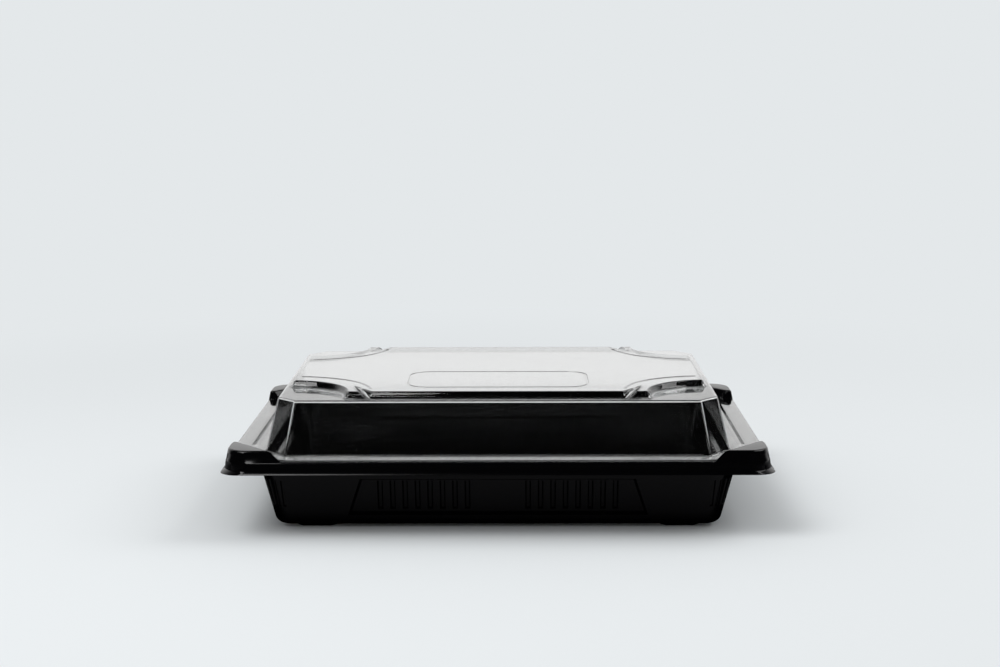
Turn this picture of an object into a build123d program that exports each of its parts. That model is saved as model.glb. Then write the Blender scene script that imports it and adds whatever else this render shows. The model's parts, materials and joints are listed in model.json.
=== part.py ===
"""Sushi tray with a clear lid: two vacuum-formed plastic sheets, in millimetres.

The tray stands on its four corner feet on the plane z = 0, with its long sides
along X and the middle of its floor on the Z axis. The lid lies on the rim,
between the four raised corners of the tray.

Each sheet is made from two solids, one under its upper surface and one under
its lower surface, and the second is taken away from the first. Both come from
the same functions: `inset` is 0 for one surface and the sheet thickness for
the other.
"""

import os
from math import atan2, cos, degrees, hypot, radians, sin, tan

from build123d import *

# Overall size, measured over the lip
overall_length = 185.0
overall_width = 130.0

# Thickness of the two sheets
tray_sheet = 0.6
lid_sheet = 0.45

# Cup of the tray
rim_height = 26.0
wall_draft = 15.0
cup_corner_radius = 12.0
floor_radius = 3.4
side_rim_width = 8.7
long_rim_width = 7.1

# Skirt and lip round the rim
skirt_depth = 3.1
skirt_draft = 8.0
lip_depth = 1.0
lip_flare = 1.05
lip_corner_radius = 6.5
rim_corner_radius = 8.0
rim_edge_break = 0.5

# Raised corners, their reach measured from the edges of the rim
ear_height = 3.7
ear_ledge = 0.1
ear_draft = 12.0
ear_inner_lean = 32.0
ear_long_reach = 19.2
ear_side_reach = 17.0
ear_blunt_end = 4.9
ear_edge_break = 0.5
ear_end_radius = 1.9

# Feet under the floor
foot_height = 1.1
foot_length = 13.0
foot_width = 11.0
foot_slope = 40.0
foot_corner_break = 2.0
foot_side_gap = 7.1
foot_long_gap = 3.7

# Sunk panels in the four walls, their ends measured from the corners of the mouth
panel_depth = 1.2
panel_slope = 38.0
panel_bottom = 4.8
panel_top = 18.2
long_panel_top_gap = 36.0
long_panel_bottom_gap = 31.3
side_panel_top_gap = 31.4
side_panel_bottom_gap = 26.9

# Grooves in the sunk panels
groove_depth = 0.8
groove_slope = 30.0
groove_width = 1.9
groove_pitch = 4.22
groove_bottom = 6.5
groove_top = 17.0
grooves_in_group = 8
group_share = 0.54
side_groove_gap = 5.0

# Grooves round the corners of the cup
corner_groove_angles = (15.0, 30.0, 45.0, 60.0, 75.0)
corner_groove_depth = 0.5
corner_groove_width = 1.2
corner_groove_bottom = 8.0
corner_groove_top = 17.5

# Seats in the short sides of the rim and the beads of the lid that lie in them
seat_depth = 1.3
seat_width = 3.6
seat_end_gap = 22.5
bead_depth = 1.0
bead_width = 2.4
bead_end_gap = 25.5
bead_slope = 25.0

# Fit of the lid on the tray
seat_gap = 0.2
fit_gap = 0.35

# Flange and dome of the lid
flange_side_inset = 0.9
flange_long_inset = 1.0
flange_corner_radius = 1.5
dome_rise = 18.0
dome_side_inset = 12.4
dome_long_inset = 6.9
dome_draft = 12.9
facet_along = 7.4
facet_across = 8.4
facet_draft = 15.7
dome_edge_radius = 1.3
dome_top_radius = 1.0
dome_foot_break = 0.6

# Raised crown on top of the dome
crown_rise = 2.3
crown_side_inset = 2.2
crown_long_inset = 3.6
crown_slope = 24.0
crown_foot_break = 0.9
crown_edge_break = 0.45
crown_corner_radius = 1.5
scallop_radius = 20.7
scallop_centre_out = 0.3
scallop_centre_back = 1.0

# Spouts in the long edges of the crown: round-bottomed channels that rise to its top
spout_depth = 2.1
spout_round = 1.0
spout_side_slope = 42.0
spout_length = 11.7
spout_turn = 24.0
spout_end_gap = 27.6

# Crease from each spout to the short edge
crease_radius = 29.8
crease_depth = 0.3
crease_width = 1.4
crease_start = 12.0
crease_end = 84.0

# Heights and half sizes that follow from the ones above
skirt_run = skirt_depth * tan(radians(skirt_draft))
rim_half_length = overall_length / 2 - lip_flare - skirt_run
rim_half_width = overall_width / 2 - lip_flare - skirt_run
mouth_half_length = rim_half_length - side_rim_width
mouth_half_width = rim_half_width - long_rim_width
lip_height = rim_height - skirt_depth - lip_depth
flange_bottom = rim_height + seat_gap
flange_top = flange_bottom + lid_sheet
dome_top = flange_top + dome_rise
crown_top = dome_top + crown_rise
wall_run = (rim_height - foot_height) * tan(radians(wall_draft))
floor_half_length = mouth_half_length - wall_run
floor_half_width = mouth_half_width - wall_run
dome_run = dome_rise * tan(radians(dome_draft))
dome_half_length = rim_half_length - dome_side_inset
dome_half_width = rim_half_width - dome_long_inset
crown_half_length = dome_half_length - dome_run - crown_side_inset
crown_half_width = dome_half_width - dome_run - crown_long_inset
crown_edge_run = crown_rise * tan(radians(crown_slope))
spout_place = crown_half_length - spout_end_gap
long_panel_top_length = 2 * (mouth_half_length - long_panel_top_gap)
long_panel_bottom_length = 2 * (mouth_half_length - long_panel_bottom_gap)
side_panel_top_length = 2 * (mouth_half_width - side_panel_top_gap)
side_panel_bottom_length = 2 * (mouth_half_width - side_panel_bottom_gap)
group_shift = group_share * long_panel_top_length / 2
side_grooves = int((side_panel_top_length - 2 * side_groove_gap) / groove_pitch) + 1
seat_length = 2 * (rim_half_width - seat_end_gap)
bead_length = 2 * (rim_half_width - bead_end_gap)


def side_shift(inset: float, slope: float) -> float:
    """Level distance between the two faces of a sheet that leans by `slope` degrees."""
    return inset / cos(radians(slope))


def recess_growth(inset: float, slope: float) -> float:
    """Growth of a recess with leaning sides from one face of the sheet to the other."""
    return inset * (1 - sin(radians(slope))) / cos(radians(slope))


def rim_block(inset: float) -> Part:
    """Solid under the rim and inside the skirt and lip."""
    flare = degrees(atan2(lip_flare, lip_depth))
    lip_shift = side_shift(inset, flare)
    skirt_shift = side_shift(inset, skirt_draft)
    drop = (lip_shift - skirt_shift) / (tan(radians(flare)) - tan(radians(skirt_draft)))
    knee = rim_height - skirt_depth - drop
    grow = (rim_height - knee) * tan(radians(skirt_draft)) - skirt_shift
    with BuildPart() as block:
        with BuildSketch(Plane.XY.offset(knee)) as edge:
            RectangleRounded(
                2 * (rim_half_length + grow),
                2 * (rim_half_width + grow),
                rim_corner_radius + grow,
            )
        extrude(amount=rim_height - inset - knee, taper=skirt_draft)
        if inset == 0:
            chamfer(block.faces().sort_by(Axis.Z)[-1].edges(), rim_edge_break)
        with BuildSketch(Plane.XY.offset(lip_height)):
            RectangleRounded(
                overall_length - 2 * lip_shift,
                overall_width - 2 * lip_shift,
                lip_corner_radius - lip_shift / 2,
            )
        with BuildSketch(Plane.XY.offset(knee)):
            add(edge.sketch_local)
        loft(ruled=True)
    return block.part


def ear_points() -> list:
    """Four corners in plan of a raised corner at rim height, from its inner tip round to its end."""
    x_side = rim_half_length - ear_ledge
    y_long = rim_half_width - ear_ledge
    y_end = rim_half_width - ear_side_reach
    return [
        (rim_half_length - ear_long_reach, y_long),
        (x_side, y_long),
        (x_side, y_end),
        (x_side - ear_blunt_end, y_end),
    ]


def ear_block(inset: float) -> Part:
    """Solid inside one raised corner, in the quarter where x and y are positive."""
    sunk = 1.6
    spread = sunk * tan(radians(ear_draft)) - side_shift(inset, ear_draft)
    with BuildPart() as block:
        with BuildSketch(Plane.XY.offset(rim_height - sunk)) as outline:
            with BuildLine():
                Polyline(*ear_points(), close=True)
            make_face()
            tip, corner, end, bend = ear_points()
            ends = [outline.vertices().sort_by_distance(point)[0] for point in (end, bend)]
            fillet(ends, ear_end_radius)
            fillet(outline.vertices().sort_by_distance(corner)[0], rim_corner_radius)
            offset(amount=spread, kind=Kind.INTERSECTION)
        extrude(amount=sunk + ear_height - inset, taper=ear_draft)
        turn = atan2(bend[0] - tip[0], tip[1] - bend[1])
        flat = cos(radians(ear_inner_lean))
        inner = Plane(
            origin=(*tip, rim_height),
            z_dir=(-cos(turn) * flat, -sin(turn) * flat, sin(radians(ear_inner_lean))),
        )
        split(bisect_by=inner.offset(-inset), keep=Keep.BOTTOM)
        if inset == 0:
            chamfer(block.faces().sort_by(Axis.Z)[-1].edges(), ear_edge_break)
    return block.part


def cup_block(inset: float) -> Part:
    """Solid inside the cup of the tray and its four feet."""
    shift = side_shift(inset, wall_draft)
    shrink = recess_growth(inset, foot_slope)
    with BuildPart() as block:
        with BuildSketch(Plane.XY.offset(rim_height)):
            RectangleRounded(
                2 * (mouth_half_length - shift),
                2 * (mouth_half_width - shift),
                cup_corner_radius - shift,
            )
        extrude(amount=-(rim_height - foot_height - inset), taper=wall_draft)
        fillet(block.faces().sort_by(Axis.Z)[0].edges(), floor_radius - inset)
        with BuildSketch(Plane.XY.offset(inset)) as feet:
            with GridLocations(
                2 * (floor_half_length - foot_side_gap) - foot_length,
                2 * (floor_half_width - foot_long_gap) - foot_width,
                2,
                2,
            ):
                Rectangle(foot_length - 2 * shrink, foot_width - 2 * shrink)
            chamfer(feet.vertices(), foot_corner_break - shrink * 0.6)
        extrude(amount=foot_height + 0.2, taper=-foot_slope)
    return block.part


def wall_plane(x: float, y: float, turn: float) -> Plane:
    """Plane on the outer face of the cup wall: X level, Y up the wall, Z into the cup."""
    flat = cos(radians(wall_draft))
    return Plane(
        origin=(x, y, rim_height),
        x_dir=(sin(radians(turn)), -cos(radians(turn)), 0),
        z_dir=(-cos(radians(turn)) * flat, -sin(radians(turn)) * flat, sin(radians(wall_draft))),
    )


def up_wall(height: float) -> float:
    """Place along the leaning wall of a point at this height."""
    return (height - rim_height) / cos(radians(wall_draft))


def sunk_panel(plane: Plane, top_length: float, bottom_length: float, inset: float) -> Part:
    """Cutter for a sunk panel that widens towards the floor."""
    lead = 0.4
    grow = recess_growth(inset, panel_slope) + lead * tan(radians(panel_slope))
    low = up_wall(panel_bottom) - grow
    high = up_wall(panel_top) + grow
    with BuildPart() as block:
        with BuildSketch(plane.offset(-lead)):
            with BuildLine():
                Polyline(
                    (-bottom_length / 2 - grow, low),
                    (bottom_length / 2 + grow, low),
                    (top_length / 2 + grow, high),
                    (-top_length / 2 - grow, high),
                    close=True,
                )
            make_face()
        extrude(amount=panel_depth + inset + lead, taper=panel_slope)
    return block.part


def groove(plane: Plane, places: list, sizes: tuple, inset: float) -> Part:
    """Cutter for a row of upright grooves, with sizes (start, depth, width, bottom, top)."""
    start, depth, width, bottom, top = sizes
    lead = 0.3
    grow = recess_growth(inset, groove_slope) + lead * tan(radians(groove_slope))
    low = up_wall(bottom) - grow
    high = up_wall(top) + grow
    with BuildPart() as block:
        with BuildSketch(plane.offset(start - lead)):
            with Locations([(place, (low + high) / 2) for place in places]):
                Rectangle(width + 2 * grow, high - low)
        extrude(amount=depth + inset + lead, taper=groove_slope)
    return block.part


def wall_cutters(inset: float) -> list:
    """Sunk panels and grooves of the four walls and the four corners."""
    sizes = (panel_depth, groove_depth, groove_width, groove_bottom, groove_top)
    row = [(i - (grooves_in_group - 1) / 2) * groove_pitch for i in range(grooves_in_group)]
    long_places = [place - group_shift for place in row] + [place + group_shift for place in row]
    side_places = [(i - (side_grooves - 1) / 2) * groove_pitch for i in range(side_grooves)]
    cutters = []
    for sign in (-1, 1):
        long = wall_plane(0, sign * mouth_half_width, sign * 90)
        side = wall_plane(sign * mouth_half_length, 0, 90 - sign * 90)
        cutters.append(sunk_panel(long, long_panel_top_length, long_panel_bottom_length, inset))
        cutters.append(sunk_panel(side, side_panel_top_length, side_panel_bottom_length, inset))
        cutters.append(groove(long, long_places, sizes, inset))
        cutters.append(groove(side, side_places, sizes, inset))
    slim = (0.0, corner_groove_depth, corner_groove_width, corner_groove_bottom, corner_groove_top)
    for quarter in (0, 90, 180, 270):
        sign_x = 1 if quarter in (0, 270) else -1
        sign_y = 1 if quarter in (0, 90) else -1
        for angle in corner_groove_angles:
            turn = quarter + angle
            x = sign_x * (mouth_half_length - cup_corner_radius) + cup_corner_radius * cos(radians(turn))
            y = sign_y * (mouth_half_width - cup_corner_radius) + cup_corner_radius * sin(radians(turn))
            cutters.append(groove(wall_plane(x, y, turn), [0.0], slim, inset))
    return cutters


def seat_block(inset: float) -> Part:
    """Cutter for the two seats in the short sides of the rim."""
    grow = recess_growth(inset, bead_slope)
    lead = 0.5
    wide = grow + lead * tan(radians(bead_slope))
    reach = 12.0
    with BuildPart() as block:
        with BuildSketch(Plane.XY.offset(rim_height + lead)):
            with Locations((mouth_half_length + seat_width - reach / 2 + wide / 2, 0)):
                RectangleRounded(reach + wide, seat_length + 2 * wide, 2.0)
        extrude(amount=-(seat_depth + inset + lead), taper=bead_slope)
        mirror(about=Plane.YZ)
    return block.part


def tray_faces(inset: float) -> tuple:
    """Solids under the rim and inside the cup for one face of the tray."""
    rim = rim_block(inset)
    ear = ear_block(inset)
    seats = seat_block(inset)
    cup = cup_block(inset)
    cutters = wall_cutters(inset)
    with BuildPart() as cap:
        add(rim)
        add(ear)
        add(ear.mirror(Plane.XZ))
        add(ear.mirror(Plane.YZ))
        add(ear.mirror(Plane.XZ).mirror(Plane.YZ))
        add(seats, mode=Mode.SUBTRACT)
    with BuildPart() as bowl:
        add(cup)
        add(cutters, mode=Mode.SUBTRACT)
    return cap.part, bowl.part


def flange_plate(bottom: float, top: float) -> Part:
    """Flat plate of the flange, its corners cut off beside the raised corners of the tray."""
    half_length = rim_half_length - flange_side_inset
    half_width = rim_half_width - flange_long_inset
    with BuildPart() as block:
        with BuildSketch(Plane.XY.offset(bottom)) as outline:
            with BuildSketch(Plane.XY, mode=Mode.PRIVATE) as ear:
                with BuildLine():
                    Polyline(*ear_points(), close=True)
                make_face()
                offset(amount=fit_gap, kind=Kind.INTERSECTION)
            Rectangle(half_length, half_width, align=Align.MIN)
            add(ear.sketch, mode=Mode.SUBTRACT)
            outer = outline.vertices().filter_by(lambda v: v.X > 1 and v.Y > 1)
            fillet(outer, flange_corner_radius)
            mirror(about=Plane.XZ)
            mirror(about=Plane.YZ)
        extrude(amount=top - bottom)
    return block.part


def dome_block(inset: float) -> Part:
    """Solid inside the dome of the lid, with its corners cut off, reaching below the flange."""
    below = lid_sheet + 1.0
    grow = below * tan(radians(dome_draft)) - side_shift(inset, dome_draft)
    cut = hypot(facet_along, facet_across)
    flat = cos(radians(facet_draft))
    with BuildPart() as block:
        with BuildSketch(Plane.XY.offset(flange_top - below)):
            Rectangle(2 * (dome_half_length + grow), 2 * (dome_half_width + grow))
        extrude(amount=below + dome_rise - inset, taper=dome_draft)
        for sign_x, sign_y in ((1, 1), (1, -1), (-1, 1), (-1, -1)):
            facet = Plane(
                origin=(sign_x * (dome_half_length - facet_along), sign_y * dome_half_width, flange_top),
                z_dir=(
                    sign_x * facet_across / cut * flat,
                    sign_y * facet_along / cut * flat,
                    sin(radians(facet_draft)),
                ),
            )
            split(bisect_by=facet.offset(-inset), keep=Keep.BOTTOM)
        upright = block.edges().filter_by(lambda e: abs(e.tangent_at(0.5).Z) > 0.5)
        fillet(upright, dome_edge_radius - inset)
        fillet(block.faces().sort_by(Axis.Z)[-1].edges(), dome_top_radius - inset)
    return block.part


def hole_edges(block: BuildPart, level: float) -> ShapeList:
    """Edges at the foot of what rises from the flat ring at this height."""
    rings = block.faces().filter_by(Plane.XY).filter_by(lambda f: abs(f.center().Z - level) < 0.01)
    return rings.sort_by(SortBy.AREA)[-1].inner_wires()[0].edges()


def crown_block(inset: float) -> Part:
    """Solid inside the raised crown, with its scallops and the spouts in its long edges."""
    base = dome_top - 2.0
    grow = 2.0 * tan(radians(crown_slope)) - side_shift(inset, crown_slope)
    with BuildPart() as block:
        with BuildSketch(Plane.XY.offset(base)) as outline:
            Rectangle(2 * (crown_half_length + grow), 2 * (crown_half_width + grow))
            with GridLocations(
                2 * (crown_half_length + scallop_centre_out),
                2 * (crown_half_width - scallop_centre_back),
                2,
                2,
            ):
                Circle(scallop_radius - grow, mode=Mode.SUBTRACT)
            fillet(outline.vertices(), crown_corner_radius + grow)
        extrude(amount=crown_top - inset - base, taper=crown_slope)
    return block.part


def spout_block(inset: float) -> Part:
    """Cutter for the four spouts: a channel that enters the riser and runs out in the top."""
    lead = 1.5
    rise = atan2(spout_depth, spout_length)
    turn = radians(spout_turn)
    mouth_y = crown_half_width - crown_edge_run
    half_angle = radians(spout_side_slope)
    round_radius = spout_round + inset
    bottom = -spout_depth - inset
    middle = bottom + round_radius
    reach = tan(half_angle) * (lead - middle) + round_radius / cos(half_angle)
    side_x = round_radius * cos(half_angle)
    side_y = middle - round_radius * sin(half_angle)
    along = (sin(turn) * cos(rise), -cos(turn) * cos(rise), sin(rise))
    across = (cos(turn), sin(turn), 0)
    with BuildPart() as block:
        with BuildSketch(Plane(origin=(spout_place, mouth_y, crown_top), x_dir=across, z_dir=along)):
            with BuildLine():
                Polyline((-side_x, side_y), (-reach, lead), (reach, lead), (side_x, side_y))
                ThreePointArc((-side_x, side_y), (0, bottom), (side_x, side_y))
            make_face()
        extrude(amount=spout_length + 8.0)
        extrude(block.faces().sort_by_distance((spout_place, mouth_y, crown_top))[0], amount=5.0)
        split(bisect_by=Plane.XY.offset(dome_top - inset), keep=Keep.TOP)
        mirror(about=Plane.XZ)
        mirror(about=Plane.YZ)
    return block.part


def crease_block(inset: float) -> Part:
    """Cutter for the four creases: a shallow V turned round the centre of each scallop."""
    level = crown_top - inset
    lead = 0.1
    half = crease_width / 2 * (1 + lead / crease_depth)
    x = crown_half_length + scallop_centre_out
    y = crown_half_width - scallop_centre_back
    turn = radians(180 + crease_start)
    profile = Plane(origin=(x, y, 0), x_dir=(cos(turn), sin(turn), 0), z_dir=(sin(turn), -cos(turn), 0))
    with BuildPart() as block:
        with BuildSketch(profile):
            with BuildLine():
                Polyline(
                    (crease_radius - half, level + lead),
                    (crease_radius + half, level + lead),
                    (crease_radius, level - crease_depth),
                    close=True,
                )
            make_face()
        revolve(axis=Axis((x, y, 0), (0, 0, 1)), revolution_arc=crease_end - crease_start)
        mirror(about=Plane.XZ)
        mirror(about=Plane.YZ)
    return block.part


def bead_block(inset: float) -> Part:
    """Cutter for the channel in each short side of the flange, a bead on its underside."""
    lead = 0.3
    grow = recess_growth(inset, bead_slope) + lead * tan(radians(bead_slope))
    middle = mouth_half_length + bead_width / 2
    with BuildPart() as block:
        with BuildSketch(Plane.XY.offset(flange_top + lead)):
            with Locations((-middle, 0), (middle, 0)):
                Rectangle(bead_width + 2 * grow, bead_length + 2 * grow)
        extrude(amount=-(bead_depth + inset + lead), taper=bead_slope)
    return block.part


def lid_face(plate: Part, inset: float) -> Part:
    """Solid under one face of the lid: a plate with the dome and the crown on it."""
    level = flange_top - inset
    dome = dome_block(inset)
    crown = crown_block(inset)
    beads = bead_block(inset)
    spouts = spout_block(inset)
    creases = crease_block(inset)
    with BuildPart() as block:
        add(plate)
        add(dome)
        add(crown)
        chamfer(hole_edges(block, level), dome_foot_break)
        chamfer(hole_edges(block, dome_top - inset), crown_foot_break)
        if inset == 0:
            chamfer(block.faces().sort_by(Axis.Z)[-1].edges(), crown_edge_break)
        add(beads, mode=Mode.SUBTRACT)
        add(spouts, mode=Mode.SUBTRACT)
        add(creases, mode=Mode.SUBTRACT)
    return block.part


def make_tray() -> Part:
    """The tray: rim, skirt, raised corners, cup and feet in one sheet."""
    cap, bowl = tray_faces(0.0)
    cap_under, bowl_inside = tray_faces(tray_sheet)
    seats = seat_block(0.0)
    with BuildPart() as hollow:
        add(cap_under)
        add(bowl, mode=Mode.SUBTRACT)
    with BuildPart() as sheet:
        add(cap)
        add(bowl)
        add(seats, mode=Mode.SUBTRACT)
        add(hollow.part, mode=Mode.SUBTRACT)
        add(bowl_inside, mode=Mode.SUBTRACT)
    return sheet.part


def make_lid() -> Part:
    """The lid: flange, dome and crown in one sheet, open underneath."""
    below = flange_bottom - bead_depth - 0.5
    plate = flange_plate(below, flange_top)
    with BuildPart() as base:
        with Locations((0, 0, below - 0.5)):
            Box(
                overall_length,
                overall_width,
                flange_bottom - below + 0.5,
                align=(Align.CENTER, Align.CENTER, Align.MIN),
            )
    upper = lid_face(plate, 0.0)
    under = lid_face(base.part, lid_sheet)
    with BuildPart() as sheet:
        add(upper)
        add(under, mode=Mode.SUBTRACT)
    return sheet.part


if __name__ == "__main__":
    os.makedirs("parts", exist_ok=True)

    # Tray
    tray_solid = make_tray()
    with BuildPart() as tray:
        add(tray_solid)
    tray.part.label = "tray"
    export_step(tray.part, "parts/tray.step")

    # Lid
    lid_solid = make_lid()
    with BuildPart() as lid:
        add(lid_solid)
    lid.part.label = "lid"
    export_step(lid.part, "parts/lid.step")
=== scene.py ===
"""Sushi tray with a clear lid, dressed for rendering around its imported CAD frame.

Both pieces are vacuum-formed sheet: a black polypropylene tray and a clear
polyethylene terephthalate lid. Both shapes come from the CAD frame, with all
their ribs, grooves and scallops. The outline pressed into the crown is cut
here, and the finishes, the studio and the camera are made here. Lengths are in
millimetres where a name ends in `_mm` and in metres elsewhere, as in the CAD
frame.
"""

import json
import logging
import math
from dataclasses import dataclass, field
from typing import Any

import bmesh
import bpy
from mathutils import Matrix, Vector

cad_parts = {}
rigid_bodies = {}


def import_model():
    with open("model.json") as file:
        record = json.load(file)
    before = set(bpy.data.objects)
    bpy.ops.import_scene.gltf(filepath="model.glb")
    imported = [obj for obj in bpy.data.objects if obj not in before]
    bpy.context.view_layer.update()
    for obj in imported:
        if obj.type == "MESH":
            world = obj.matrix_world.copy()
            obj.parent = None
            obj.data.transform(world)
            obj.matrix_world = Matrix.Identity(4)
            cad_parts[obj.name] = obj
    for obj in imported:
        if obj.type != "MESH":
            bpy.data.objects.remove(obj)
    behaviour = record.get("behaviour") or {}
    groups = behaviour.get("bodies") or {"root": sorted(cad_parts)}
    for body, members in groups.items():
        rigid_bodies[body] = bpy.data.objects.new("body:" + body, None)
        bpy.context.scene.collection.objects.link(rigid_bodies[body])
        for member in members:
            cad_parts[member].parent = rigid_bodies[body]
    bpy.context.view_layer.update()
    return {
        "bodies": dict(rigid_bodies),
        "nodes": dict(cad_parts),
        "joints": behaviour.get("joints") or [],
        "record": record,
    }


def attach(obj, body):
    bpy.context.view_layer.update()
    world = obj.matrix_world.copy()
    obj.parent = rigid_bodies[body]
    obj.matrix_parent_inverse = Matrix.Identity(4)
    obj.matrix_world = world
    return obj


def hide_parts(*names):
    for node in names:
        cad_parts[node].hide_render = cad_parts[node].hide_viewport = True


log = logging.getLogger("sushi_tray")

MM = 0.001
# Corners of the CAD mesh that lie nearer than this are one corner
MERGE_MM = 0.002
# Faces that turn by less than this belong to one flat region
FLAT_DEGREES = 0.3
WHITE = (1.0, 1.0, 1.0, 1.0)


def linear(hex_colour: str) -> tuple[float, float, float, float]:
    """Turns an sRGB hex colour into the linear RGBA that a shader socket takes.

    Args:
        hex_colour: six hex digits after a hash, as in "#0d0d0e".

    Returns:
        The linear red, green and blue, and an alpha of 1.
    """
    channels = [int(hex_colour[i : i + 2], 16) / 255 for i in (1, 3, 5)]
    curve = [c / 12.92 if c <= 0.04045 else ((c + 0.055) / 1.055) ** 2.4 for c in channels]
    return (curve[0], curve[1], curve[2], 1.0)


def add_node(
    tree: bpy.types.NodeTree,
    kind: str,
    settings: dict[str, Any] | None = None,
    links: dict[str | int, bpy.types.NodeSocket] | None = None,
    **attributes: Any,
) -> bpy.types.Node:
    """Adds one node to a tree, with its socket values, links and attributes.

    Args:
        tree: the node tree that takes the node.
        kind: the node's type name.
        settings: input socket name or index, and the value it takes.
        links: input socket name or index, and the output socket joined to it.
        **attributes: properties of the node itself.

    Returns:
        The new node.
    """
    node = tree.nodes.new(kind)
    for name, value in attributes.items():
        setattr(node, name, value)
    for key, value in (settings or {}).items():
        node.inputs[key].default_value = value
    for key, socket in (links or {}).items():
        tree.links.new(socket, node.inputs[key])
    return node


def waviness(tree: bpy.types.NodeTree, spacing_mm: float, height_mm: float) -> bpy.types.NodeSocket:
    """Makes the faint waves that a formed sheet keeps, because it cools unevenly.

    Args:
        tree: the material's node tree.
        spacing_mm: usual distance from wave to wave.
        height_mm: height of the waves.

    Returns:
        The socket with the wavy normal.
    """
    place = add_node(tree, "ShaderNodeTexCoord")
    wave = add_node(
        tree,
        "ShaderNodeTexNoise",
        {"Scale": 1 / (spacing_mm * MM), "Detail": 1.0},
        {"Vector": place.outputs["Object"]},
    )
    bump = add_node(
        tree,
        "ShaderNodeBump",
        {"Distance": height_mm * MM, "Strength": 1.0},
        {"Height": wave.outputs["Fac"]},
    )
    return bump.outputs["Normal"]


@dataclass(frozen=True)
class BlackPolypropylene:
    """Black polypropylene sheet, vacuum-formed over a smooth mould.

    The pigment takes nearly all the light, so the eye sees only its gloss, with
    soft edges to what it mirrors.
    """

    name: str = "black_polypropylene_vacuum_formed"
    colour: str = "#020203"
    roughness: float = 0.14
    ior: float = 1.49
    specular: float = 0.4
    wave_mm: float = 9.0
    wave_height_mm: float = 0.02

    def build(self) -> bpy.types.Material:
        """Makes the material.

        Returns:
            The finished material.
        """
        material = bpy.data.materials.new(self.name)
        material.use_nodes = True
        tree = material.node_tree
        shader = tree.nodes["Principled BSDF"]
        shader.inputs["Base Color"].default_value = linear(self.colour)
        shader.inputs["Roughness"].default_value = self.roughness
        shader.inputs["IOR"].default_value = self.ior
        shader.inputs["Specular IOR Level"].default_value = self.specular
        tree.links.new(waviness(tree, self.wave_mm, self.wave_height_mm), shader.inputs["Normal"])
        return material


@dataclass(frozen=True)
class ClearPet:
    """Clear polyethylene terephthalate sheet, vacuum-formed.

    It is seen by the light it reflects: flat faces turn white at a low angle of
    view, and upright ones show what lies behind them.
    """

    name: str = "clear_pet_vacuum_formed"
    tint: str = "#fbfcfc"
    roughness: float = 0.03
    ior: float = 1.575
    wave_mm: float = 14.0
    wave_height_mm: float = 0.015

    def build(self) -> bpy.types.Material:
        """Makes the material.

        Returns:
            The finished material.
        """
        material = bpy.data.materials.new(self.name)
        material.use_nodes = True
        tree = material.node_tree
        shader = tree.nodes["Principled BSDF"]
        shader.inputs["Base Color"].default_value = linear(self.tint)
        shader.inputs["Roughness"].default_value = self.roughness
        shader.inputs["IOR"].default_value = self.ior
        shader.inputs["Transmission Weight"].default_value = 1.0
        tree.links.new(waviness(tree, self.wave_mm, self.wave_height_mm), shader.inputs["Normal"])
        return material


def region_areas(form: bmesh.types.BMesh) -> list[float]:
    """Measures the flat region that each face is part of.

    Args:
        form: the mesh, with its face indices up to date.

    Returns:
        One area for each face, in square metres: the sum over its flat region.
    """
    flat = math.radians(FLAT_DEGREES)
    areas = [0.0] * len(form.faces)
    seen: set[int] = set()
    for first in form.faces:
        if first.index in seen:
            continue
        seen.add(first.index)
        region = [first]
        for face in region:
            for edge in face.edges:
                if len(edge.link_faces) != 2 or edge.calc_face_angle(0.0) > flat:
                    continue
                for other in edge.link_faces:
                    if other.index not in seen:
                        seen.add(other.index)
                        region.append(other)
        total = sum(face.calc_area() for face in region)
        for face in region:
            areas[face.index] = total
    return areas


def corner_normals(form: bmesh.types.BMesh) -> list[Vector]:
    """Finds the shading normal of each corner, so that large flat faces stay flat.

    Args:
        form: the mesh, with its sharp edges marked.

    Returns:
        One normal for each corner, in the order of the mesh's corners.
    """
    areas = region_areas(form)
    normals = []
    for face in form.faces:
        for loop in face.loops:
            fan = {face.index: face}
            queue = [face]
            for near in queue:
                for edge in near.edges:
                    if loop.vert not in edge.verts or not edge.smooth:
                        continue
                    for other in edge.link_faces:
                        if other.index not in fan:
                            fan[other.index] = other
                            queue.append(other)
            total = Vector((0, 0, 0))
            for near in fan.values():
                corner = next(item for item in near.loops if item.vert is loop.vert)
                total += near.normal * areas[near.index] * corner.calc_angle()
            normals.append(total.normalized())
    return normals


def merged_copy(node: bpy.types.Object, name: str) -> bpy.types.Object:
    """Copies a CAD node's mesh and merges its loose triangles.

    Args:
        node: the CAD node, which is left as it is.
        name: name of the new object.

    Returns:
        The new object, in the scene and at the origin.
    """
    mesh = bpy.data.meshes.new(name)
    form = bmesh.new()
    form.from_mesh(node.data)
    form.transform(node.matrix_world)
    bmesh.ops.remove_doubles(form, verts=form.verts, dist=MERGE_MM * MM)
    form.to_mesh(mesh)
    form.free()
    copy = bpy.data.objects.new(name, mesh)
    bpy.context.scene.collection.objects.link(copy)
    return copy


def smooth(piece: bpy.types.Object, crease_degrees: float) -> None:
    """Smooths a piece's shading. Narrow bevels take the turn between two large faces.

    Args:
        piece: the piece, whose mesh takes its own corner normals.
        crease_degrees: edges that turn by more than this stay sharp.
    """
    form = bmesh.new()
    form.from_mesh(piece.data)
    form.faces.index_update()
    limit = math.radians(crease_degrees)
    for edge in form.edges:
        edge.smooth = len(edge.link_faces) == 2 and edge.calc_face_angle(0.0) < limit
    for face in form.faces:
        face.smooth = True
        face.material_index = 0
    normals = corner_normals(form)
    form.to_mesh(piece.data)
    form.free()
    piece.data.normals_split_custom_set(normals)


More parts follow.
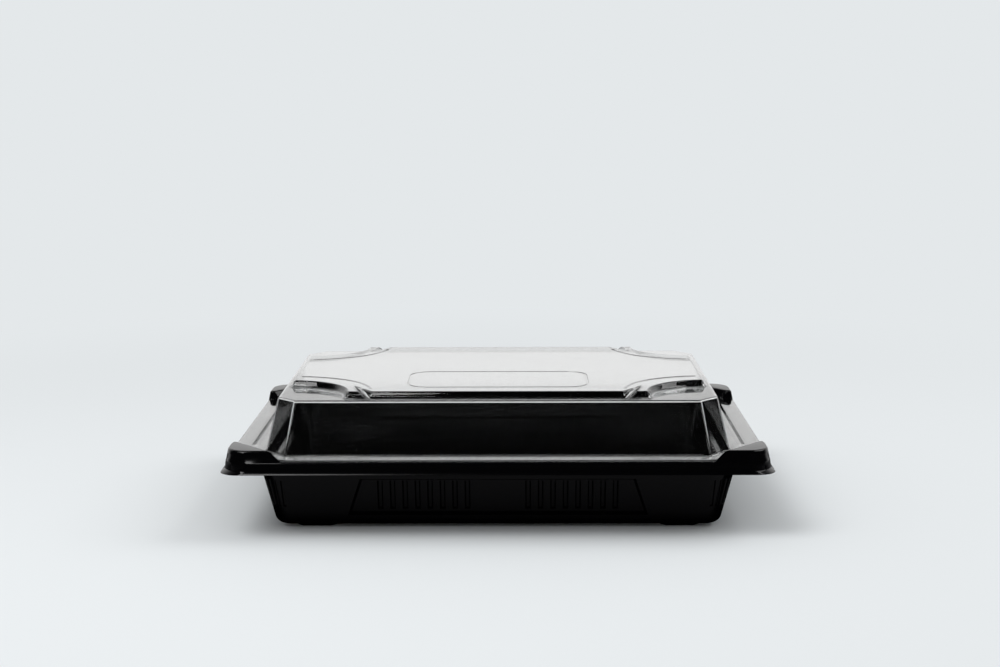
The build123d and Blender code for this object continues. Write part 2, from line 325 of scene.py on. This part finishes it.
@dataclass(frozen=True)
class PressedFrame:
    """The bare frame pressed into the crown's top: a shallow groove with round corners.

    Its width is measured at the sheet's surface, and both its sides slope. The
    cutter that makes it stands above the surface by the clearance.
    """

    middle_mm: tuple[float, float] = (0.0, -24.2)
    size_mm: tuple[float, float] = (62.0, 31.0)
    corner_mm: float = 7.0
    corner_steps: int = 8
    width_mm: float = 0.8
    depth_mm: float = 0.16
    slope_degrees: float = 52.0
    clearance_mm: float = 0.2

    def tree(self, material: bpy.types.Material) -> bpy.types.NodeTree:
        """Makes the Geometry Nodes tree that cuts the groove along its path.

        Args:
            material: the sheet's material.

        Returns:
            The tree, whose inputs are the sheet, the frame's sizes and its middle.
        """
        tree = bpy.data.node_groups.new("pressed_frame", "GeometryNodeTree")
        ends = tree.interface
        ends.new_socket("Geometry", in_out="INPUT", socket_type="NodeSocketGeometry")
        for name in ("Length", "Breadth", "Corner"):
            ends.new_socket(name, in_out="INPUT", socket_type="NodeSocketFloat")
        ends.new_socket("Middle", in_out="INPUT", socket_type="NodeSocketVector")
        ends.new_socket("Geometry", in_out="OUTPUT", socket_type="NodeSocketGeometry")
        given = add_node(tree, "NodeGroupInput").outputs
        path = add_node(
            tree,
            "GeometryNodeCurvePrimitiveQuadrilateral",
            links={"Width": given["Length"], "Height": given["Breadth"]},
        )
        rounded = add_node(
            tree,
            "GeometryNodeFilletCurve",
            {"Count": self.corner_steps, "Limit Radius": True},
            {"Curve": path.outputs["Curve"], "Radius": given["Corner"]},
            mode="POLY",
        )
        # Both sides slope, so the width grows by this much for each millimetre of height
        spread = 2 / math.tan(math.radians(self.slope_degrees))
        section = add_node(
            tree,
            "GeometryNodeCurvePrimitiveQuadrilateral",
            {
                "Bottom Width": (self.width_mm + self.clearance_mm * spread) * MM,
                "Top Width": (self.width_mm - self.depth_mm * spread) * MM,
                "Height": (self.depth_mm + self.clearance_mm) * MM,
                "Offset": 0.0,
            },
            mode="TRAPEZOID",
        )
        cutter = add_node(
            tree,
            "GeometryNodeCurveToMesh",
            links={"Curve": rounded.outputs["Curve"], "Profile Curve": section.outputs["Curve"]},
        )
        placed = add_node(
            tree,
            "GeometryNodeTransform",
            links={"Geometry": cutter.outputs["Mesh"], "Translation": given["Middle"]},
        )
        cut = add_node(
            tree,
            "GeometryNodeMeshBoolean",
            links={"Mesh 1": given["Geometry"], "Mesh 2": placed.outputs["Geometry"]},
            operation="DIFFERENCE",
            solver="EXACT",
        )
        real = add_node(tree, "GeometryNodeRealizeInstances", links={"Geometry": cut.outputs["Mesh"]})
        dressed = add_node(
            tree,
            "GeometryNodeSetMaterial",
            {"Material": material},
            {"Geometry": real.outputs["Geometry"]},
        )
        add_node(tree, "NodeGroupOutput", links={"Geometry": dressed.outputs["Geometry"]})
        return tree

    def press(self, sheet: bpy.types.Object, material: bpy.types.Material) -> None:
        """Presses the frame into a sheet.

        Args:
            sheet: the lid's object, whose mesh is replaced.
            material: the sheet's material, which the new mesh takes.
        """
        top = max(vertex.co.z for vertex in sheet.data.vertices)
        lift = (self.clearance_mm - self.depth_mm) / 2 * MM
        tree = self.tree(material)
        values = {
            "Length": self.size_mm[0] * MM,
            "Breadth": self.size_mm[1] * MM,
            "Corner": self.corner_mm * MM,
            "Middle": (self.middle_mm[0] * MM, self.middle_mm[1] * MM, top + lift),
        }
        modifier = sheet.modifiers.new("pressed_frame", "NODES")
        modifier.node_group = tree
        for item in tree.interface.items_tree:
            if item.in_out == "INPUT" and item.name in values:
                modifier[item.identifier] = values[item.name]
        bpy.context.view_layer.update()
        evaluated = sheet.evaluated_get(bpy.context.evaluated_depsgraph_get())
        pressed = bpy.data.meshes.new_from_object(evaluated)
        sheet.modifiers.remove(modifier)
        # The cut leaves an empty slot before the material's own
        pressed.materials.clear()
        pressed.materials.append(material)
        sheet.data = pressed


@dataclass
class Tray:
    """The black tray: cup, rim, skirt and raised corners."""

    finish: BlackPolypropylene = field(default_factory=BlackPolypropylene)
    crease_degrees: float = 46.0

    def build(self, frame: dict[str, Any]) -> bpy.types.Object:
        """Dresses the tray.


        Returns:
            The tray's object.
        """
        tray = merged_copy(frame["nodes"]["tray"], "tray_sheet")
        smooth(tray, self.crease_degrees)
        tray.data.materials.append(self.finish.build())
        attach(tray, "tray")
        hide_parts("tray")
        return tray


@dataclass
class Lid:
    """The clear lid: flange, dome and crown."""

    finish: ClearPet = field(default_factory=ClearPet)
    pressed: PressedFrame = field(default_factory=PressedFrame)
    crease_degrees: float = 46.0

    def build(self, frame: dict[str, Any]) -> bpy.types.Object:
        """Dresses the lid.


        Returns:
            The lid's object.
        """
        lid = merged_copy(frame["nodes"]["lid"], "lid_sheet")
        self.pressed.press(lid, self.finish.build())
        smooth(lid, self.crease_degrees)
        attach(lid, "lid")
        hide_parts("lid")
        return lid


@dataclass(frozen=True)
class Softbox:
    """A square soft lamp that faces the object and stays out of the picture."""

    name: str
    place: tuple[float, float, float]
    width: float
    watts: float

    def hang(self) -> bpy.types.Object:
        """Hangs the lamp.

        Returns:
            The lamp's object.
        """
        data = bpy.data.lights.new(self.name, "AREA")
        data.shape = "SQUARE"
        data.size = self.width
        data.energy = self.watts
        lamp = bpy.data.objects.new(self.name, data)
        lamp.location = self.place
        lamp.rotation_euler = (-Vector(self.place)).to_track_quat("-Z", "Y").to_euler()
        lamp.visible_camera = False
        bpy.context.scene.collection.objects.link(lamp)
        return lamp


@dataclass(frozen=True)
class PhotoCamera:
    """The camera of the photograph, as fitted to the tray's edges in it."""

    focal_px: float = 1800.0
    frame_px: float = 1000.0
    sensor_mm: float = 36.0
    eye_mm: tuple[float, float, float] = (6.976, -645.155, 156.822)
    pitch_degrees: float = 8.584
    yaw_degrees: float = -0.584
    roll_degrees: float = -0.199
    clip: tuple[float, float] = (0.01, 50.0)

    def place(self) -> bpy.types.Object:
        """Places the camera.

        Returns:
            The camera.
        """
        data = bpy.data.cameras.new("camera")
        data.sensor_width = self.sensor_mm
        data.lens = self.focal_px / self.frame_px * self.sensor_mm
        data.clip_start, data.clip_end = self.clip
        camera = bpy.data.objects.new("camera", data)
        turn = (
            Matrix.Rotation(math.radians(-self.yaw_degrees), 4, "Z")
            @ Matrix.Rotation(math.radians(90 - self.pitch_degrees), 4, "X")
            @ Matrix.Rotation(math.radians(self.roll_degrees), 4, "Z")
        )
        camera.matrix_world = Matrix.Translation(Vector(self.eye_mm) * MM) @ turn
        bpy.context.scene.collection.objects.link(camera)
        bpy.context.scene.camera = camera
        return camera


@dataclass(frozen=True)
class Floor:
    """A pale paper floor that fades into the surroundings.

    The studio of the photograph is not known, so the floor is matched to it from
    its camera's angle. What the object mirrors of the floor is painted shade: a
    darker copy of the paper near by, black at the tray's foot as a painted
    contact shadow, and bright at the back. Through the lid it is paper, but for a
    painted dark strip of shade behind the tray, which keeps the front edge of the
    crown dark. Each band is where one look gives way to the next, in metres from
    the middle.
    """

    paper: str = "#e4e8ea"
    # Painted shade: a darker copy of the paper, seen only in reflections
    shaded_paper: str = "#6c6c6e"
    back_glow: float = 0.85
    half_width: float = 12.0
    fade_band: tuple[float, float] = (0.16, 0.5)
    # Painted contact shadow: what the tray mirrors of the floor turns black inside this band around its
    # foot
    foot_shadow_band: tuple[float, float] = (0.052, 0.058)
    back_band: tuple[float, float] = (0.205, 0.215)
    # Painted shade: a dark strip on the floor behind the tray, seen only through the lid
    shade_strip_start_band: tuple[float, float] = (0.15, 0.185)
    shade_strip_side_band: tuple[float, float] = (0.13, 0.17)

    def material(self) -> bpy.types.Material:
        """Makes the floor's material.

        Returns:
            The finished material.
        """
        material = bpy.data.materials.new("pale_studio_paper")
        material.use_nodes = True
        tree = material.node_tree
        tree.nodes.clear()
        colour = linear(self.paper)
        path = add_node(tree, "ShaderNodeLightPath").outputs
        place = add_node(tree, "ShaderNodeTexCoord").outputs["Object"]
        split = add_node(tree, "ShaderNodeSeparateXYZ", links={0: place}).outputs
        reach = add_node(tree, "ShaderNodeVectorMath", links={0: place}, operation="LENGTH")
        aside = add_node(tree, "ShaderNodeMath", links={0: split["X"]}, operation="ABSOLUTE")
        depth = add_node(tree, "ShaderNodeMath", links={0: split["Y"]}, operation="ABSOLUTE")
        bands = {
            "far": (reach.outputs["Value"], self.fade_band),
            "clear_of_foot_shadow": (depth.outputs[0], self.foot_shadow_band),
            "back": (split["Y"], self.back_band),
            "strip": (split["Y"], self.shade_strip_start_band),
            "beside": (aside.outputs[0], self.shade_strip_side_band),
        }
        share = {
            name: add_node(
                tree,
                "ShaderNodeMapRange",
                {"From Min": start, "From Max": end},
                {"Value": measure},
                interpolation_type="SMOOTHSTEP",
            ).outputs["Result"]
            for name, (measure, (start, end)) in bands.items()
        }
        # Painted shade: the darker paper that reflections show, turning black near the tray's foot as a
        # painted contact shadow
        shaded_tone = add_node(
            tree,
            "ShaderNodeVectorMath",
            {0: linear(self.shaded_paper)[:3]},
            {"Scale": share["clear_of_foot_shadow"]},
            operation="SCALE",
        )
        # The dark look is the painted shade of the paper in reflections; the bright look is the glow at
        # the back
        looks = {
            "paper": add_node(tree, "ShaderNodeBsdfDiffuse", {"Color": colour}).outputs[0],
            "glow": add_node(tree, "ShaderNodeEmission", {"Color": colour, "Strength": 1.0}).outputs[0],
            "dark": add_node(tree, "ShaderNodeBsdfDiffuse", links={"Color": shaded_tone.outputs[0]}).outputs[0],
            "bright": add_node(
                tree, "ShaderNodeEmission", {"Color": WHITE, "Strength": self.back_glow}
            ).outputs[0],
        }
        # Through the lid, a painted dark strip of shade lies behind the tray; reflections show the
        # painted shade of the paper
        steps = (
            ("seen", share["far"], "paper", "glow"),
            ("mirrored", share["back"], "dark", "bright"),
            ("painted_shade_strip", share["beside"], "mirrored", "seen"),
            ("through", share["strip"], "seen", "painted_shade_strip"),
            ("first", path["Is Glossy Ray"], "seen", "mirrored"),
            ("whole", path["Is Transmission Ray"], "first", "through"),
        )
        for name, part, below, above in steps:
            links = {0: part, 1: looks[below], 2: looks[above]}
            looks[name] = add_node(tree, "ShaderNodeMixShader", links=links).outputs[0]
        add_node(tree, "ShaderNodeOutputMaterial", links={"Surface": looks["whole"]})
        return material

    def lay(self) -> bpy.types.Object:
        """Lays the floor.

        Returns:
            The floor's object.
        """
        mesh = bpy.data.meshes.new("floor")
        half = self.half_width
        corners = [(-half, -half, 0), (half, -half, 0), (half, half, 0), (-half, half, 0)]
        mesh.from_pydata(corners, [], [(0, 1, 2, 3)])
        floor = bpy.data.objects.new("floor", mesh)
        bpy.context.scene.collection.objects.link(floor)
        mesh.materials.append(self.material())
        return floor


@dataclass(frozen=True)
class Surroundings:
    """Plain surroundings, pale to the camera, and bright only at the back to gloss.

    The two bands are along the Y and the Z of a direction of length 1.
    """

    paper: str = "#e4e8ea"
    soft_light: float = 0.55
    back_glow: float = 0.85
    front_glow: float = 0.012
    ceiling_share: float = 0.15
    back_band: tuple[float, float] = (0.25, 0.7)
    ceiling_band: tuple[float, float] = (0.35, 0.75)

    def hang(self) -> None:
        """Makes the world and gives it to the scene."""
        world = bpy.data.worlds.new("studio")
        world.use_nodes = True
        bpy.context.scene.world = world
        tree = world.node_tree
        tree.nodes.clear()
        path = add_node(tree, "ShaderNodeLightPath").outputs
        direction = add_node(tree, "ShaderNodeTexCoord").outputs["Generated"]
        split = add_node(tree, "ShaderNodeSeparateXYZ", links={0: direction}).outputs
        ramps = (
            (split["Y"], self.back_band, (self.front_glow, self.back_glow)),
            (split["Z"], self.ceiling_band, (1.0, self.ceiling_share)),
        )
        back, ceiling = (
            add_node(
                tree,
                "ShaderNodeMapRange",
                {"From Min": band[0], "From Max": band[1], "To Min": levels[0], "To Max": levels[1]},
                {"Value": measure},
                interpolation_type="SMOOTHSTEP",
            ).outputs["Result"]
            for measure, band, levels in ramps
        )
        glow = add_node(tree, "ShaderNodeMath", links={0: back, 1: ceiling}, operation="MULTIPLY")
        mirrored = add_node(
            tree,
            "ShaderNodeMath",
            links={0: path["Is Glossy Ray"], 1: path["Is Transmission Ray"]},
            operation="MAXIMUM",
        )
        soft = add_node(tree, "ShaderNodeBackground", {"Color": WHITE, "Strength": self.soft_light})
        gloss = add_node(tree, "ShaderNodeBackground", {"Color": WHITE}, {"Strength": glow.outputs[0]})
        paper = add_node(tree, "ShaderNodeBackground", {"Color": linear(self.paper), "Strength": 1.0})
        lit = add_node(
            tree,
            "ShaderNodeMixShader",
            links={0: mirrored.outputs[0], 1: soft.outputs[0], 2: gloss.outputs[0]},
        )
        whole = add_node(
            tree,
            "ShaderNodeMixShader",
            links={0: path["Is Camera Ray"], 1: lit.outputs[0], 2: paper.outputs[0]},
        )
        add_node(tree, "ShaderNodeOutputWorld", links={"Surface": whole.outputs[0]})


@dataclass(frozen=True)
class Studio:
    """The floor, the surroundings, two soft lamps and the camera."""

    floor: Floor = field(default_factory=Floor)
    surroundings: Surroundings = field(default_factory=Surroundings)
    key: Softbox = Softbox("key_softbox", (-0.5, -0.35, 0.9), 0.6, 5.0)
    fill: Softbox = Softbox("fill_softbox", (0.7, 0.2, 0.8), 0.6, 3.0)
    camera: PhotoCamera = field(default_factory=PhotoCamera)

    def build(self) -> None:
        """Sets up the whole studio."""
        self.floor.lay()
        self.surroundings.hang()
        self.key.hang()
        self.fill.hang()
        self.camera.place()


def main() -> None:
    """Builds the tray, the lid and the studio in order."""
    logging.basicConfig(level=logging.INFO, format="%(name)s: %(message)s")
    bpy.context.scene.view_settings.view_transform = "Standard"
    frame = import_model()
    pieces = [Tray().build(frame), Lid().build(frame)]
    for piece in pieces:
        log.info("%s: %d faces", piece.name, len(piece.data.polygons))
    Studio().build()
    bpy.context.view_layer.update()


if __name__ == "__main__":
    main()
